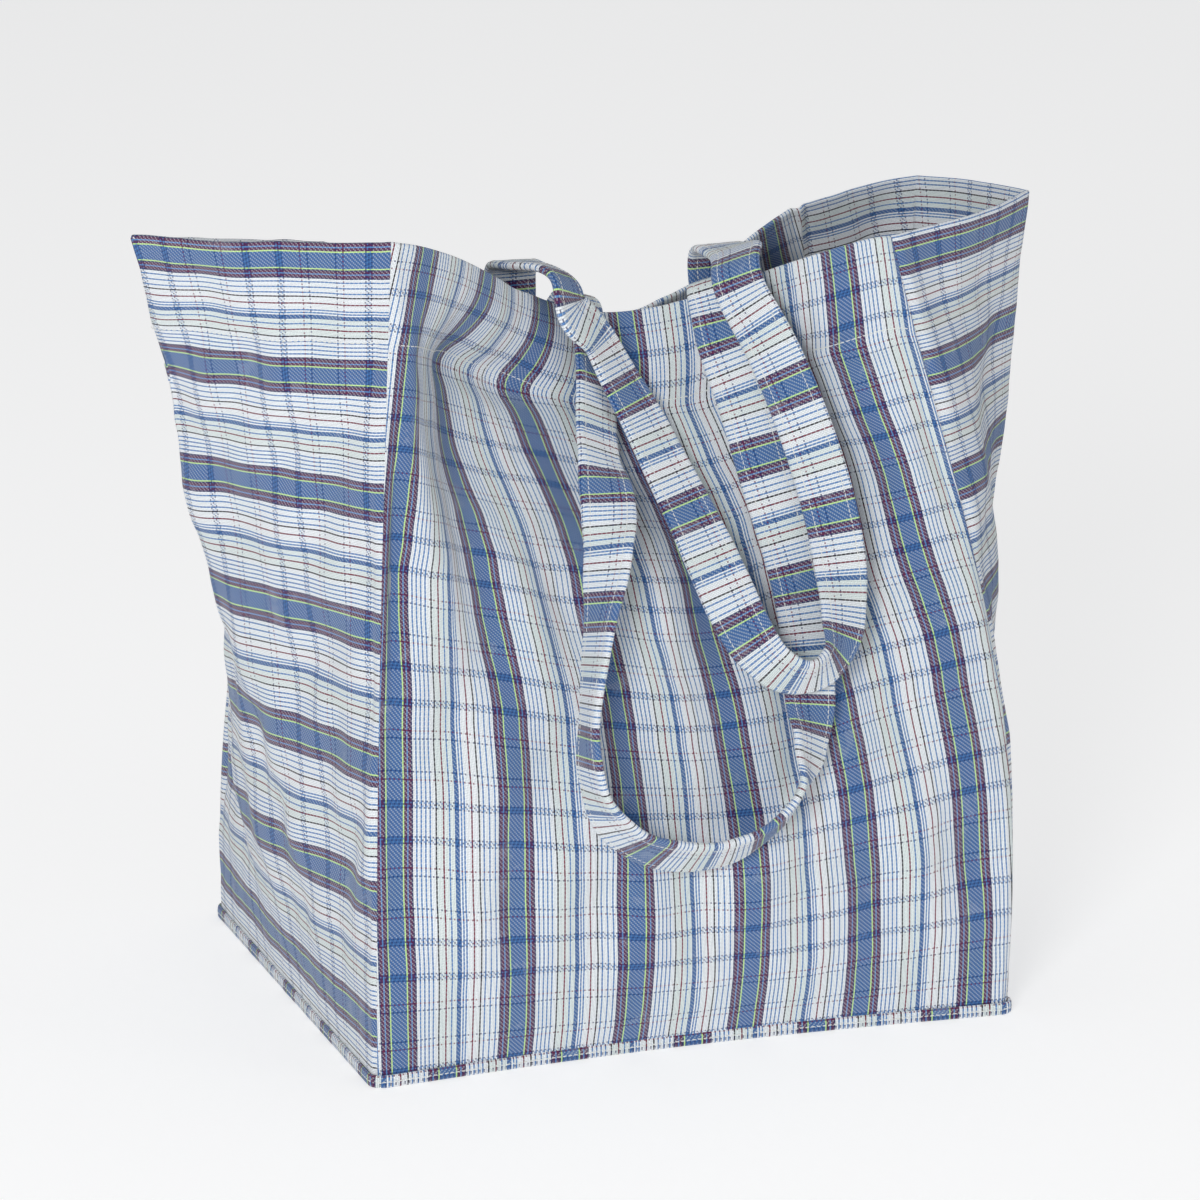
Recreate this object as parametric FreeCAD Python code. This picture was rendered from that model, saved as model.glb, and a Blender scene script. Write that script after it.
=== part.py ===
import FreeCAD, Part
import math
import os

# An open carrying sack of heavy cotton cloth: front, back, two gussets and a base, sewn together,
# with a turned hem round the mouth and two long shoulder straps that hang down over the front.
# Millimetres, +Z up, X to the right, front facing -Y. The origin is the middle of the base on the floor.

Vec = FreeCAD.Vector

# ---- the bag as it stands ----
WIDTH = 360.0  # base, side to side
DEPTH = 300.0  # base, front to back
HEIGHT = 451.0  # highest corner of the mouth, front left
CLOTH = 2.0  # thickness of the heavy twill
HEM = 54.0  # depth of the turned hem
BINDING_HEIGHT = 7.0  # bound seam that stands round the foot of the bag
BINDING_THICKNESS = 2.2
ALLOWANCE_WIDTH = 9.0  # bound seam allowance on the inside of each upright corner
ALLOWANCE_THICKNESS = 1.8
THREAD = 0.7  # diameter of the topstitching thread
THREAD_GAP = 0.3  # keeps a thread off the cloth that it lies on

# ---- the straps ----
STRAP_WIDTH = 29.0
STRAP_THICKNESS = 5.0
STRAP_COVER = 1.2  # cloth round the webbing inside
STRAP_CHAMFER = 1.2
STRAP_GAP = 3.0  # from the front panel to the front strap
OVERLAP_GAP = 3.0  # from the front strap to the back strap, which lies over it
STRAP_TAIL = 44.0  # length of strap caught inside the hem
HINGE_RISE = 8.0  # middle of the front strap over the mouth edge
BACK_HINGE_RISE = 11.0  # middle of the back strap over the front strap
BEND_OPEN = 45.0  # degrees of the bend left open each side of the hinge line
LEVEL_REACH = 32.0  # the back strap lies level from this far behind the front mouth edge
BEND_FALL = 12.0  # height of the back strap's bend over the inside of the back hem
FRONT_ROOTS = (-34.0, 42.0)  # where the front strap leaves the hem, left and right
BACK_ROOTS = (-62.0, 54.0)
BACK_CROSSINGS = (-55.0, 56.0)  # where the back strap crosses the front mouth edge

# The hanging straps: sideways place, drop below the front hinge line, and how far the strap's face is
# turned outwards from the middle of its loop, in degrees. A flat strap can only hang in a loop by turning.
FRONT_ROUTE = [
    (-34, 26, 0), (-37, 52, 0), (-43, 80, 2), (-48, 101, 26), (-55, 128, 54), (-64, 165, 74),
    (-70, 203, 78), (-69, 236, 68), (-53, 264, 54), (-24, 279, 47), (6, 281, 50), (32, 271, 60),
    (48, 255, 66), (57, 234, 34), (62, 210, 4), (64, 184, 0), (63, 152, 0), (58, 120, 0),
    (53, 88, 0), (48, 55, 0), (43, 26, 0),
]
BACK_ROUTE = [
    (-42, 24, 0), (-30, 44, 0), (-18, 66, 0), (-6, 92, 0), (6, 121, 4), (15, 149, 18), (23, 174, 38),
    (36, 193, 54), (54, 200, 58), (71, 193, 48), (82, 170, 24), (85, 140, 6), (83, 108, 0), (76, 68, 0),
    (69, 40, 0), (63, 22, 0),
]

# ---- upright seams: foot, top, how far the seam bows on the way up, and the power by which it leans ----
CORNERS = {
    "front_left": ((-WIDTH / 2, -DEPTH / 2), (-WIDTH / 2 + 14, -DEPTH / 2 + 2, HEIGHT), (-2, -4), 1.5),
    "front_right": ((WIDTH / 2, -DEPTH / 2), (WIDTH / 2 - 57, -DEPTH / 2 + 42, HEIGHT - 26), (24, -6), 1.0),
    "back_right": ((WIDTH / 2, DEPTH / 2), (WIDTH / 2 - 68, DEPTH / 2 - 140, HEIGHT - 33), (14, 12), 1.5),
    "back_left": ((-WIDTH / 2, DEPTH / 2), (-WIDTH / 2 + 30, DEPTH / 2 - 136, HEIGHT - 34), (-6, 12), 1.5),
}
# The gussets flare outwards at the mouth: (share of the gusset's width, place of the fold).
LEFT_FOLDS = [(0.5, (-WIDTH / 2 - 99, -52, HEIGHT - 9))]
RIGHT_FOLDS = [(0.4, (WIDTH / 2 + 46, -50, HEIGHT - 21)), (0.7, (WIDTH / 2 + 13, 36, HEIGHT - 27))]
FRONT_PINCH, FRONT_SAG = 85.0, 57.0  # middle of the front edge: how far in, and how far down
BACK_PINCH, BACK_SAG = 32.0, 43.0
BELLY = {"front": 24.0, "right_gusset": 10.0, "back": 22.0, "left_gusset": 10.0}
FOOT_BOW = 10.0  # the foot of the front curves in by this much
RIM_BOW = 7.0  # each length of gusset edge bows outwards

SIDES = [
    ("front", "front_left", "front_right", 16),
    ("right_gusset", "front_right", "back_right", 10),
    ("back", "back_right", "back_left", 16),
    ("left_gusset", "back_left", "front_left", 10),
]


def mix(a, b, t):
    return a + (b - a) * t


def bow_share(h):
    """Outward bow on the way up: a half sine, fuller below than above."""
    return math.sin(math.pi * h) * (1.25 - 0.75 * h)


def corner(name, h):
    """Outer point of an upright seam at height share h: it leans as a power of h, and bows."""
    (bx, by), (tx, ty, tz), (ox, oy), power = CORNERS[name]
    lean, bow = h**power, bow_share(h)
    return Vec(mix(bx, tx, lean) + ox * bow, mix(by, ty, lean) + oy * bow, mix(CLOTH, tz, h))


def fold_line(start, folds, end, u, bow):
    """Point at share u of a gusset's top edge: straight from fold to fold, each length bowed outwards."""
    stops = [(0.0, start)] + [(at, Vec(*place)) for at, place in folds] + [(1.0, end)]
    for (u0, p0), (u1, p1) in zip(stops, stops[1:]):
        if u <= u1:
            t = (u - u0) / (u1 - u0)
            along = p1 - p0
            out = Vec(along.y, -along.x, 0).normalize()
            return mix(p0, p1, t) + out * bow * math.sin(math.pi * t)


def dip(u, skew, power):
    """A smooth dip, 0 at both ends and 1 near the middle."""
    return max(0.0, math.sin(math.pi * (u - skew * math.sin(math.pi * u)))) ** power


def panel_point(side, u, h):
    """Outer surface of a side at share u of its width and share h of its height."""
    start, end = next((a, b) for name, a, b, _ in SIDES if name == side)
    point = mix(corner(start, h), corner(end, h), u)
    bulge = BELLY[side] * math.sin(math.pi * u) * bow_share(h)
    if side == "front":
        d = dip(u, 0.045, 1.7)
        foot = FOOT_BOW * math.sin(math.pi * u) * (1 - h) ** 6
        return point + Vec(0, FRONT_PINCH * d * h**2.2 - bulge + foot, -FRONT_SAG * d * h)
    if side == "back":
        d = dip(u, -0.03, 1.3)
        return point + Vec(0, -BACK_PINCH * d * h**2.2 + bulge, -BACK_SAG * d * h)
    folds = LEFT_FOLDS if side == "left_gusset" else RIGHT_FOLDS
    out = -1 if side == "left_gusset" else 1
    top_a, top_b = corner(start, 1.0), corner(end, 1.0)
    flare = fold_line(top_a, folds, top_b, u, RIM_BOW) - mix(top_a, top_b, u)
    lean = h**1.5
    return point + Vec(flare.x * lean + out * bulge, flare.y * lean, flare.z * h)


# ---- the four sides as one ring of points, so that neighbours share their seam lines ----
HEM_SHARE = 1 - HEM / HEIGHT
FOOT_SHARE = (BINDING_HEIGHT - CLOTH) / (HEIGHT - CLOTH)
LEVELS = [0.0, FOOT_SHARE] + [HEM_SHARE * k / 9 for k in range(1, 10)] + [(1 + HEM_SHARE) / 2, 1.0]
HEM_ROW = 10
COLUMNS = [(side, k / count) for side, _, _, count in SIDES for k in range(count)]
RING = [[panel_point(side, u, h) for side, u in COLUMNS] for h in LEVELS]


def level_normal(row, j, count):
    """Horizontal mitre at a ring point: moving by t along it moves both neighbouring faces out by t."""
    before, here, after = row[j - 1], row[j], row[(j + 1) % count]
    faces = []
    for a, b in ((before, here), (here, after)):
        faces.append(Vec(b.y - a.y, a.x - b.x, 0).normalize())
    return (faces[0] + faces[1]) * (1 / (1 + faces[0].dot(faces[1])))


MITRES = [[level_normal(row, j, len(row)) for j in range(len(row))] for row in RING]


def ring_point(i, j, out):
    """Ring point of level i and column j, moved outwards by out."""
    j %= len(COLUMNS)
    return RING[i][j] + MITRES[i][j] * out


def between(i, j, t, out):
    """Point a share t of the way from level i to level i + 1."""
    return mix(ring_point(i, j, out), ring_point(i + 1, j, out), t)


# ---- solids from flat facets ----
def solid_of(triangles):
    faces = []
    for a, b, c in triangles:
        if (b - a).cross(c - a).Length > 1e-7:
            faces.append(Part.Face(Part.makePolygon([a, b, c, a])))
    solid = Part.makeSolid(Part.makeShell(faces))
    if solid.Volume < 0:
        solid.reverse()
    return solid


def strip(a, b):
    """Triangles between two rows of points of equal length."""
    out = []
    for k in range(len(a) - 1):
        out += [(a[k], a[k + 1], b[k + 1]), (a[k], b[k + 1], b[k])]
    return out


def loft(sections, closed=False):
    """Solid through like sections, each a loop of points. A closed loft joins its last section to its first."""
    triangles = []
    pairs = list(zip(sections, sections[1:])) + ([(sections[-1], sections[0])] if closed else [])
    for a, b in pairs:
        triangles += strip(a + a[:1], b + b[:1])
    if not closed:
        for section, turn in ((sections[0], -1), (sections[-1], 1)):
            for k in range(1, len(section) - 1):
                triangles.append((section[0], section[k], section[k + 1])[::turn])
    return solid_of(triangles)


def sleeve(outer, inner):
    """Tube between two lofts with as many points in each section."""
    triangles = []
    for a, b in zip(outer, outer[1:]):
        triangles += strip(a + a[:1], b + b[:1])
    for a, b in zip(inner, inner[1:]):
        triangles += strip(b + b[:1], a + a[:1])
    triangles += strip(inner[0] + inner[0][:1], outer[0] + outer[0][:1])
    triangles += strip(outer[-1] + outer[-1][:1], inner[-1] + inner[-1][:1])
    return solid_of(triangles)


def side_panel(first, count):
    """One side: a single cloth below, and double in the hem, which is turned to the inside."""
    columns = range(first, first + count + 1)
    last = len(LEVELS) - 1
    outer = [[ring_point(i, j, 0) for j in columns] for i in range(last + 1)]
    inner = [[ring_point(i, j, -CLOTH) for j in columns] for i in range(HEM_ROW + 1)]
    hem = [[ring_point(i, j, -2 * CLOTH) for j in columns] for i in range(HEM_ROW, last + 1)]
    backs = inner + hem
    triangles = []
    for a, b in zip(outer, outer[1:]):
        triangles += strip(a, b)
    for a, b in zip(backs, backs[1:]):
        triangles += strip(b, a)
    triangles += strip(backs[0], outer[0]) + strip(outer[-1], backs[-1])
    for k, turn in ((0, 1), (count, -1)):
        edge = []
        front = [row[k] for row in outer]
        rear = [row[k] for row in inner]
        turned = [row[k] for row in hem]
        for i in range(HEM_ROW):
            edge += [(front[i], rear[i], rear[i + 1]), (front[i], rear[i + 1], front[i + 1])]
        edge += [(front[HEM_ROW], rear[HEM_ROW], front[HEM_ROW + 1])]
        edge += [(rear[HEM_ROW], turned[1], front[HEM_ROW + 1]), (rear[HEM_ROW], turned[0], turned[1])]
        for i in range(1, len(turned) - 1):
            a, b = front[HEM_ROW + i], front[HEM_ROW + i + 1]
            edge += [(a, turned[i], turned[i + 1]), (a, turned[i + 1], b)]
        triangles += [t[::turn] for t in edge]
    return solid_of(triangles)


def ring_band(points_at):
    """Closed band round the bag. points_at gives the section at a column."""
    return loft([points_at(j) for j in range(len(COLUMNS))], closed=True)


def foot_binding(j):
    low, foot, top = RING[0][j], ring_point(0, j, 0), ring_point(1, j, 0)
    outer_low, outer_top = ring_point(0, j, BINDING_THICKNESS), ring_point(1, j, BINDING_THICKNESS)
    return [Vec(low.x, low.y, 0), foot, top, outer_top, Vec(outer_low.x, outer_low.y, 0)]


def foot_thread(j):
    near = BINDING_THICKNESS + 1.5 * THREAD_GAP
    far = near + THREAD
    half = THREAD / 2 / (BINDING_HEIGHT - CLOTH)
    return [between(0, j, 0.5 + s * half, d) for s, d in ((-1, near), (1, near), (1, far), (-1, far))]


def hem_thread(j):
    half = THREAD / (HEM / 2)
    near, far = THREAD_GAP, THREAD_GAP + THREAD
    return [between(HEM_ROW, j, t, d) for t, d in ((half, near), (2 * half, near), (2 * half, far), (half, far))]


def seam_allowance(column):
    """Bound seam allowance on the inside of an upright corner, from the base up to the hem."""
    sections = []
    for i in range(HEM_ROW + 1):
        tip = ring_point(i, column, -CLOTH)
        inwards = MITRES[i][column].normalize() * -1
        across = Vec(-inwards.y, inwards.x, 0) * (ALLOWANCE_THICKNESS / 2)
        neck = tip + inwards * ALLOWANCE_THICKNESS
        end = tip + inwards * ALLOWANCE_WIDTH
        sections.append([tip, neck + across, end + across, end - across, neck - across])
    return loft(sections)


# ---- straps ----
def mouth_point(side, x):
    """Outer point of the front or back mouth edge at x, found by halving."""
    low, high = (0.0, 1.0) if side == "front" else (1.0, 0.0)
    for _ in range(40):
        middle = (low + high) / 2
        if panel_point(side, middle, 1.0).x < x:
            low = middle
        else:
            high = middle
    return panel_point(side, low, 1.0)


def shares_at(side, x, z):
    """Width and height shares of the point of the front or back panel at x and z, reached step by step."""
    start, end = ("front_left", "front_right") if side == "front" else ("back_right", "back_left")
    u, h = 0.5, 0.5
    for _ in range(40):
        point = panel_point(side, u, h)
        h = min(0.999, max(0.001, h + (z - point.z) / HEIGHT * 0.9))
        first, last = corner(start, h).x, corner(end, h).x
        u = min(0.999, max(0.001, (x - first) / (last - first)))
    return u, h


def panel_normal(side, u, h):
    """Outward unit normal of a side, from its slopes across and up."""
    step = 0.001
    across = panel_point(side, u + step, h) - panel_point(side, u - step, h)
    up = panel_point(side, u, h + step) - panel_point(side, u, h - step)
    return across.cross(up).normalize()


def off_panel(side, x, z, lift):
    """Point of the front or back panel at x and z, moved out along the panel's normal, or in if lift is negative."""
    u, h = shares_at(side, x, z)
    return panel_point(side, u, h) + panel_normal(side, u, h) * lift


def mean(values):
    return sum(values) / len(values)


BACK_GAP = STRAP_GAP + STRAP_THICKNESS + OVERLAP_GAP
FRONT_LIFT = STRAP_GAP + STRAP_THICKNESS / 2
BACK_LIFT = BACK_GAP + STRAP_THICKNESS / 2
INSIDE_LIFT = 2 * CLOTH + STRAP_GAP + STRAP_THICKNESS / 2
FRONT_EDGES = [mouth_point("front", x) for x in FRONT_ROOTS]
BACK_EDGES = [mouth_point("back", x) for x in BACK_ROOTS]
FRONT_HINGE = Vec(0, mean([p.y for p in FRONT_EDGES]) + CLOTH, max(p.z for p in FRONT_EDGES) + HINGE_RISE)
BACK_HINGE = Vec(
    0, mean([p.y for p in BACK_EDGES]) - INSIDE_LIFT - HINGE_RISE, FRONT_HINGE.z + BACK_HINGE_RISE
)


def hanging(route, gap):
    """Route points on the front panel, each moved out along the panel's normal until the strap clears it."""
    points = []
    for x, drop, turn in route:
        a = math.radians(turn)
        lift = gap + STRAP_WIDTH / 2 * math.sin(a) + STRAP_THICKNESS / 2 * math.cos(a)
        points.append(off_panel("front", x, FRONT_HINGE.z - drop, lift))
    return points


def rim_frame(side, x):
    """Middle of the hem's top edge at x, with unit vectors along the edge, square to it outwards, and up."""
    here, next_one = mouth_point(side, x - 4), mouth_point(side, x + 4)
    along = (next_one - here).normalize()
    out = Vec(along.y, -along.x, 0).normalize() * (1 if side == "front" else -1)
    up = along.cross(out).normalize()
    up = up if up.z > 0 else up * -1
    return mouth_point(side, x) - out * CLOTH, out, up


def over_rim(frame, radius, angles):
    """Points of a bend round the top of the hem, at angles from straight up; negative angles are inside."""
    middle, out, up = frame
    turns = [math.radians(a) for a in angles]
    return [middle + up * (radius * math.cos(a)) + out * (radius * math.sin(a)) for a in turns]


def rim_facing(side, frames, way):
    """Outer side of a strap: away from the hem's edge above it, square to the panel below it, level at the back."""
    def facing(point):
        middle, out, up = min(frames, key=lambda f: abs(f[0].x - point.x))
        rise = (point - middle).dot(up)
        if rise < 0:
            return panel_normal(side, *shares_at(side, point.x, point.z)) * way
        beyond = (point - middle).dot(out) * way
        if beyond < 0:
            return mix(up, Vec(0, 0, 1), min(1.0, -beyond / LEVEL_REACH))
        turn = math.atan2(beyond, max(rise, 0.001))
        return up * math.cos(turn) + out * (way * math.sin(turn))
    return facing


def octagon(centre, normal, along, width, thickness, chamfer):
    across = along.cross(normal).normalize()
    a, b, c = width / 2, thickness / 2, chamfer
    shape = [(a, b - c), (a - c, b), (c - a, b), (-a, b - c), (-a, c - b), (c - a, -b), (a - c, -b), (a, c - b)]
    return [centre + across * s + normal * t for s, t in shape]


def sections_along(points, facing, count, sizes, turns=None):
    """Strap sections at even steps of a spline through the points. facing(point) gives the outer face's side,
    and turns, one for each point, how far that face is turned outwards."""
    curve = Part.BSplineCurve()
    curve.interpolate(points)
    knots = curve.getKnots()
    first, last = knots[0], knots[-1]
    turns = turns or [0] * len(knots)
    rows = []
    for k in range(count + 1):
        t = mix(first, last, k / count)
        point, along = curve.value(t), Vec(*curve.tangent(t)[0]).normalize()
        normal = facing(point)
        normal = (normal - along * normal.dot(along)).normalize()
        i = min(len(knots) - 2, max(j for j in range(len(knots)) if knots[j] <= t + 1e-9))
        share = (t - knots[i]) / (knots[i + 1] - knots[i])
        turn = math.radians(mix(turns[i], turns[i + 1], share * share * (3 - 2 * share)))
        normal = normal * math.cos(turn) + along.cross(normal) * math.sin(turn)
        rows.append([octagon(point, normal, along, *size) for size in sizes])
    return [list(column) for column in zip(*rows)]


COVER = (STRAP_WIDTH, STRAP_THICKNESS, STRAP_CHAMFER)
HOLLOW = (STRAP_WIDTH - 2 * STRAP_COVER, STRAP_THICKNESS - 2 * STRAP_COVER, STRAP_CHAMFER / 2)
WEBBING = (HOLLOW[0] - 8.6, HOLLOW[1] - 1.6, STRAP_CHAMFER / 3)


def strap(name, legs, route, gap, facing, steps):
    """The moving part of a strap, from bend to bend, as a cover with webbing inside and two rows of stitches."""
    points = legs[0] + hanging(route, gap) + legs[1][::-1]
    turns = [0] * len(legs[0]) + [turn for _, _, turn in route] + [0] * len(legs[1])
    sections = sections_along(points, facing, steps, (COVER, HOLLOW, WEBBING), turns)
    write(name + "_cover", sleeve(sections[0], sections[1]))
    write(name + "_webbing", loft(sections[2]))
    write(name + "_stitching", strap_threads(sections[0]))


def strap_threads(sections):
    """Two rows of topstitching on the strap's outer face, each near one edge."""
    threads = []
    inset = 5.0 / STRAP_WIDTH
    for share in (inset, 1 - inset):
        rows = []
        for section in sections:
            right, left, under = section[1], section[2], section[6]
            normal = (right - under).normalize()
            across = (left - right).normalize() * (THREAD / 2)
            middle = mix(right, left, share) + normal * THREAD_GAP
            rows.append([middle - across, middle + across, middle + across + normal * THREAD,
                         middle - across + normal * THREAD])
        threads.append(loft(rows))
    return Part.makeCompound(threads)


def strap_end(bend, side, x, edge, facing):
    """The fixed end of a strap: its half of the bend, then down the inside of the hem to its raw end."""
    points = bend + [off_panel(side, x, edge.z - drop, -INSIDE_LIFT) for drop in (14.0, 29.0, STRAP_TAIL)]
    return loft(sections_along(points, facing, 12, (COVER,))[0])


def back_bend(x, edge):
    """Points of the back strap's fixed end, from beside the hinge line down to just over the back hem."""
    reach = edge.y - INSIDE_LIFT - BACK_HINGE.y
    turns = [math.radians(a) for a in (BEND_OPEN, 66, 88)]
    bend = [Vec(x, BACK_HINGE.y + reach * math.sin(a), BACK_HINGE.z - BEND_FALL * (1 - math.cos(a))) for a in turns]
    return bend + [Vec(x, edge.y - INSIDE_LIFT - 0.5, edge.z + 2)]


def back_end_facing(point):
    """Outer side of the back strap's fixed ends: up at the hinge line, then towards the back panel."""
    rise = point.z - (BACK_HINGE.z - BEND_FALL)
    if rise < 0:
        return panel_normal("back", *shares_at("back", point.x, point.z))
    return Vec(0, max(0.0, point.y - BACK_HINGE.y), rise)


os.makedirs("parts", exist_ok=True)


def write(name, shape):
    shape.exportStep("parts/" + name + ".step")
    solids = shape.Solids
    print(name, len(solids), "solid(s)", round(shape.Volume / 1000, 2), "cm3", shape.isValid())


first_column = 0
for side_name, start_corner, _, side_count in SIDES:
    panel_name = side_name if side_name.endswith("gusset") else side_name + "_panel"
    write(panel_name, side_panel(first_column, side_count))
    write(start_corner + "_seam_binding", seam_allowance(first_column))
    first_column += side_count

outline = [Vec(p.x, p.y, 0) for p in RING[0]]
write("base_panel", Part.Face(Part.makePolygon(outline + outline[:1])).extrude(Vec(0, 0, CLOTH)))
write("base_edge_binding", ring_band(foot_binding))
write("base_edge_stitching", ring_band(foot_thread))
write("hem_stitching", ring_band(hem_thread))

front_rims = [rim_frame("front", x) for x in FRONT_ROOTS]
over_rims = [rim_frame("front", x) for x in BACK_CROSSINGS]
front_legs = [over_rim(rim, FRONT_LIFT + CLOTH, (BEND_OPEN, 68, 90)) for rim in front_rims]
back_legs = [[Vec(x, BACK_HINGE.y - 6, BACK_HINGE.z - 0.5)] + over_rim(rim, BACK_LIFT + CLOTH, (10, 36, 62, 88))
             for x, rim in zip(BACK_ROOTS, over_rims)]
strap("front_handle", front_legs, FRONT_ROUTE, STRAP_GAP, rim_facing("front", front_rims, 1), 150)
strap("back_handle", back_legs, BACK_ROUTE, BACK_GAP, rim_facing("front", over_rims, 1), 150)
for k, label in enumerate(("left", "right")):
    bend = over_rim(front_rims[k], FRONT_LIFT + CLOTH, (-BEND_OPEN, -68, -90))
    facing = rim_facing("front", front_rims, -1)
    write("front_handle_" + label + "_end", strap_end(bend, "front", FRONT_ROOTS[k], FRONT_EDGES[k], facing))
    bend = back_bend(BACK_ROOTS[k], BACK_EDGES[k])
    write("back_handle_" + label + "_end", strap_end(bend, "back", BACK_ROOTS[k], BACK_EDGES[k], back_end_facing))
print("front hinge", FRONT_HINGE, "back hinge", BACK_HINGE)
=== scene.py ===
"""A plaid cotton carrying sack: four sewn sides on a flat base, a turned hem, and two long shoulder
straps.

Laid out as an add-on and run as a script: each piece of the sack has its own operator, and main() makes
them in order. Metres, +Z up, +X to the right, front facing -Y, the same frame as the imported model.
"""

import math

import bpy
import numpy as np
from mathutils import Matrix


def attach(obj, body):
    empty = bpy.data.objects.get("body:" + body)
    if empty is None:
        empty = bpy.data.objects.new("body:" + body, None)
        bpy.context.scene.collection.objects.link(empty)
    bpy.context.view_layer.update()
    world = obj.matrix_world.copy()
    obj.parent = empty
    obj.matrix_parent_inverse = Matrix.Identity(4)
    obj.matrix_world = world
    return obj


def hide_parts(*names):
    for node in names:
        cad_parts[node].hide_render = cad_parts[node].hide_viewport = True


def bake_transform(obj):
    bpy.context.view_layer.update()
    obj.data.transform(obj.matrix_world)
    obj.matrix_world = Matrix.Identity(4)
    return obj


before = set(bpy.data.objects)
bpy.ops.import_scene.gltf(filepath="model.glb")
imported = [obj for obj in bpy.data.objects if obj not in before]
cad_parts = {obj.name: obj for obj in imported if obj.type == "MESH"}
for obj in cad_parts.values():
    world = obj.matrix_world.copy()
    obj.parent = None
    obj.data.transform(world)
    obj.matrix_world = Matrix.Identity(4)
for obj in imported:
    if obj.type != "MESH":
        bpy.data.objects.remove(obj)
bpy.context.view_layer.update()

bl_info = {
    "name": "Plaid carrying sack",
    "version": (1, 0, 0),
    "blender": (4, 5, 0),
    "location": "3D View > Sidebar > Sack",
    "description": "Makes a plaid cotton carrying sack with two long shoulder straps",
    "category": "Add Mesh",
}

# ---- sizes of the sack, in metres ----
WIDTH, DEPTH, HEIGHT = 0.360, 0.300, 0.451
CLOTH = 0.0012  # one layer of twill
FOLD_GAP = 0.0002  # between the two layers of the hem
HEM = 0.054
FOOT = 0.0020  # the sides start this high, on the base
BINDING_HEIGHT, BINDING_THICKNESS = 0.0072, 0.0024
REPEAT = 0.070  # one repeat of the plaid, both ways
YARN = REPEAT / 84

# each upright corner: foot, top, outward bow and the power its lean follows
CORNERS = {
    "front_left": ((-0.180, -0.150), (-0.166, -0.148, 0.451), (-0.002, -0.004), 1.5),
    "front_right": ((0.180, -0.150), (0.123, -0.108, 0.425), (0.024, -0.006), 1.0),
    "back_right": ((0.180, 0.150), (0.112, 0.010, 0.418), (0.014, 0.012), 1.5),
    "back_left": ((-0.180, 0.150), (-0.150, 0.014, 0.417), (-0.006, 0.012), 1.5),
}
SIDES = {
    "front_panel": ("front_left", "front_right"),
    "right_gusset": ("front_right", "back_right"),
    "back_panel": ("back_right", "back_left"),
    "left_gusset": ("back_left", "front_left"),
}
FOLDS = {
    "left_gusset": [(0.5, (-0.279, -0.052, 0.442))],
    "right_gusset": [(0.4, (0.226, -0.050, 0.430)), (0.7, (0.193, 0.036, 0.424))],
}
BELLY = {"front_panel": 0.024, "right_gusset": 0.010, "back_panel": 0.022, "left_gusset": 0.010}
# flat cuts, the turned hem included
CUT = {"front_panel": (0.385, 0.512), "right_gusset": (0.300, 0.506), "back_panel": (0.385, 0.494),
       "left_gusset": (0.312, 0.512)}


# ---- shapes as functions of two shares ----
def smooth(a, b, x):
    """0 below a, 1 above b, and a smooth step (3t^2 - 2t^3) between."""
    t = np.clip((x - a) / (b - a), 0.0, 1.0)
    return t * t * (3 - 2 * t)


def bell(x, middle, left, right=None):
    """A bell exp(-d^2), with its own width on each side of the middle."""
    right = left if right is None else right
    d = np.where(x < middle, (x - middle) / left, (x - middle) / right)
    return np.exp(-d * d)


def bow_share(h):
    """Outward bow on the way up: a half sine, fuller below than above."""
    return np.sin(np.pi * h) * (1.25 - 0.75 * h)


def seam_line(corner, h):
    """Upright seam at height share h: it leans as a power of h, and bows."""
    (bx, by), (tx, ty, tz), (ox, oy), power = CORNERS[corner]
    lean, bow = h**power, bow_share(h)
    x = bx + (tx - bx) * lean + ox * bow
    y = by + (ty - by) * lean + oy * bow
    return np.stack([x, y, FOOT + (tz - FOOT) * h], -1)


def dip(u, skew, power):
    """A smooth dip, 0 at both ends and 1 near the middle."""
    return np.maximum(0.0, np.sin(np.pi * (u - skew * np.sin(np.pi * u)))) ** power


def rim_fold(side, u):
    """Top edge of a gusset at share u: from fold to fold, each length bowed outwards by 7 mm."""
    start, end = SIDES[side]
    stops = [(0.0, CORNERS[start][1])] + FOLDS[side] + [(1.0, CORNERS[end][1])]
    shares = np.array([s for s, _ in stops])
    places = np.array([p for _, p in stops])
    k = np.clip(np.searchsorted(shares, u, side="right") - 1, 0, len(stops) - 2)
    t = (u - shares[k]) / (shares[k + 1] - shares[k])
    t = np.clip(t, 0, 1)
    along = places[k + 1] - places[k]
    out = np.stack([along[..., 1], -along[..., 0], 0 * along[..., 0]], -1)
    out /= np.linalg.norm(out, axis=-1, keepdims=True)
    return places[k] + along * t[..., None] + out * (0.007 * np.sin(np.pi * t))[..., None]


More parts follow.
